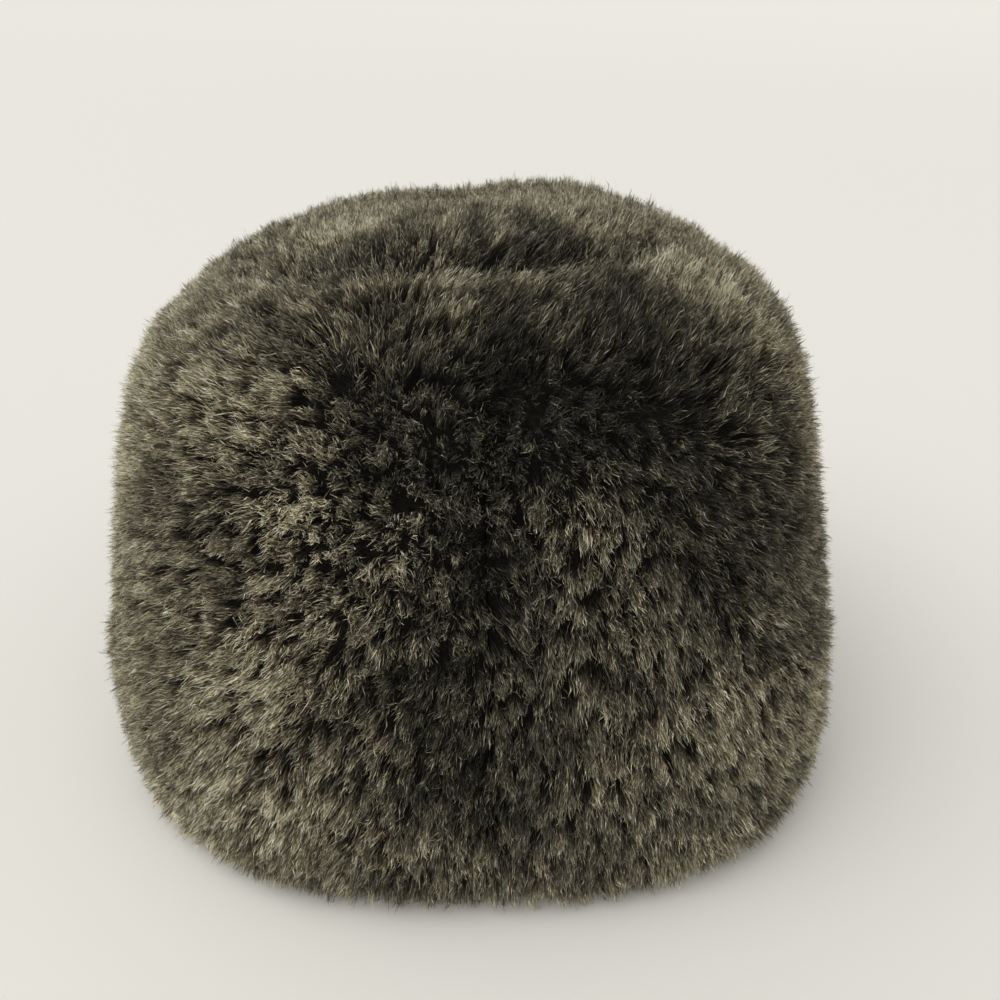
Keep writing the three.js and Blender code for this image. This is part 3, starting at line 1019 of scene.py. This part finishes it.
def stage_floor():
    floor = plain_material("floor_paper", FLOOR_COLOR, FLOOR_ROUGHNESS)
    turn = np.arange(FLOOR_SIDES) / FLOOR_SIDES * 2 * math.pi
    rings = [
        np.stack([
            row["reach"] * np.cos(turn),
            row["reach"] * np.sin(turn),
            np.full(FLOOR_SIDES, row["rise"]),
        ], -1)
        for row in FLOOR_PROFILE
    ]
    points = np.vstack(rings + [np.zeros((1, 3))])
    around = np.arange(FLOOR_SIDES)
    middle = np.stack([around, (around + 1) % FLOOR_SIDES, np.full(FLOOR_SIDES, len(points) - 1)], -1)
    sides = grid_faces(len(FLOOR_PROFILE), FLOOR_SIDES)[:, ::-1]
    made = mesh_object("floor", points, [sides, middle], floor)


def broad_lamp():
    """Even soft light from one direction."""
    lamp = bpy.data.lights.new("lamp", "SUN")
    lamp.energy = LAMP_STRENGTH
    lamp.angle = math.radians(LAMP_BREADTH)
    made = bpy.data.objects.new("lamp", lamp)
    made.rotation_euler = Vector(LAMP_FROM).to_track_quat("Z", "Y").to_euler()
    bpy.context.scene.collection.objects.link(made)


def sky():
    """Light from all round, stronger from one side."""
    world = bpy.data.worlds.new("studio")
    world.use_nodes = True
    tree = world.node_tree
    place = add_node(tree, "ShaderNodeTexCoord")
    side = add_node(tree, "ShaderNodeVectorMath", operation="DOT_PRODUCT")
    side.inputs[1].default_value = SKY_TOWARD
    tree.links.new(place.outputs["Generated"], side.inputs[0])
    strength = add_node(tree, "ShaderNodeMapRange")
    set_inputs(strength, {
        "From Min": -1.0,
        "To Min": SKY_MIDDLE - SKY_SLOPE,
        "To Max": SKY_MIDDLE + SKY_SLOPE,
    })
    tree.links.new(side.outputs["Value"], strength.inputs["Value"])
    back = tree.nodes["Background"]
    back.inputs["Color"].default_value = (*SKY_COLOR, 1)
    tree.links.new(strength.outputs["Result"], back.inputs["Strength"])
    bpy.context.scene.world = world


def make_camera():
    """The photograph's view: the hat stands turned a little, so the camera goes round it the other way."""
    forward = Vector((0, math.cos(CAMERA_PITCH), -math.sin(CAMERA_PITCH)))
    right = Vector((1, 0, 0))
    up = right.cross(forward)
    level_right = math.cos(CAMERA_ROLL) * right + math.sin(CAMERA_ROLL) * up
    level_up = -math.sin(CAMERA_ROLL) * right + math.cos(CAMERA_ROLL) * up
    turn = Matrix.Rotation(-HAT_TURN, 3, "Z")
    axes = Matrix((turn @ level_right, turn @ level_up, turn @ -forward)).transposed()
    data = bpy.data.cameras.new("camera")
    data.sensor_width = SENSOR
    data.lens = LENS
    data.clip_start = NEAREST
    data.dof.use_dof = True
    data.dof.focus_distance = FOCUS
    data.dof.aperture_fstop = APERTURE
    made = bpy.data.objects.new("camera", data)
    place = turn @ Vector(CAMERA_PLACE) + Vector(MIDDLE_SHIFT)
    made.matrix_world = Matrix.Translation(place) @ axes.to_4x4()
    bpy.context.scene.collection.objects.link(made)
    bpy.context.scene.camera = made


# The scene

def show(piece, node):
    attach(piece, "root")
    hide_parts(node)


make_camera()
stage_floor()
sky()
broad_lamp()
bpy.context.scene.view_settings.view_transform = "Standard"

underfur = underfur_material()
wool = fur_material()
hide = hide_material()

BAND_TOP = LENGTH_TO_CROWN - SEAM_GAP / 2
band_lengths = np.linspace(0, BAND_TOP, BAND_ROWS)
half_turn = np.linspace(0, math.pi, BAND_COLUMNS)
seam_angle = SEAM_GAP / 2 / HALF_DEPTH
half_turn[0] += seam_angle
half_turn[-1] -= seam_angle
show(pelt("pelt_band_right", FRONT + half_turn, band_lengths, underfur, hide), "band_right")
show(pelt("pelt_band_left", -FRONT + half_turn, band_lengths, underfur, hide), "band_left")
show(crown_pelt("pelt_crown", underfur, hide), "crown")

# The parts of the pile: the node that each replaces, the strands in a wisp, and between which shares of the
# way round the plan it grows, anticlockwise from +X
PILES = [
    {"name": "pile_right_front", "node": "band_right", "strands": FRONT_STRANDS, "from": 0.75, "to": 0.875},
    {"name": "pile_right_side", "node": "band_right", "strands": FRONT_STRANDS, "from": 0.875, "to": 1.0},
    {"name": "pile_right_back", "node": "band_right", "strands": BACK_STRANDS, "from": 0.0, "to": 0.25},
    {"name": "pile_left_back", "node": "band_left", "strands": BACK_STRANDS, "from": 0.25, "to": 0.5},
    {"name": "pile_left_side", "node": "band_left", "strands": FRONT_STRANDS, "from": 0.5, "to": 0.625},
    {"name": "pile_left_front", "node": "band_left", "strands": FRONT_STRANDS, "from": 0.625, "to": 0.75},
    {"name": "pile_crown", "node": "crown", "strands": CROWN_STRANDS, "from": 0.0, "to": 1.0},
]
for number, row in enumerate(PILES):
    is_crown = row["node"] == "crown"
    lengths = (LENGTH_TO_CROWN, LENGTH_TO_TOP) if is_crown else (-UNDER_EDGE, BAND_TOP)
    region = (row["from"], row["to"], *lengths)
    show(pile(row["name"], region, row["strands"], wool, SEED + number), row["node"])
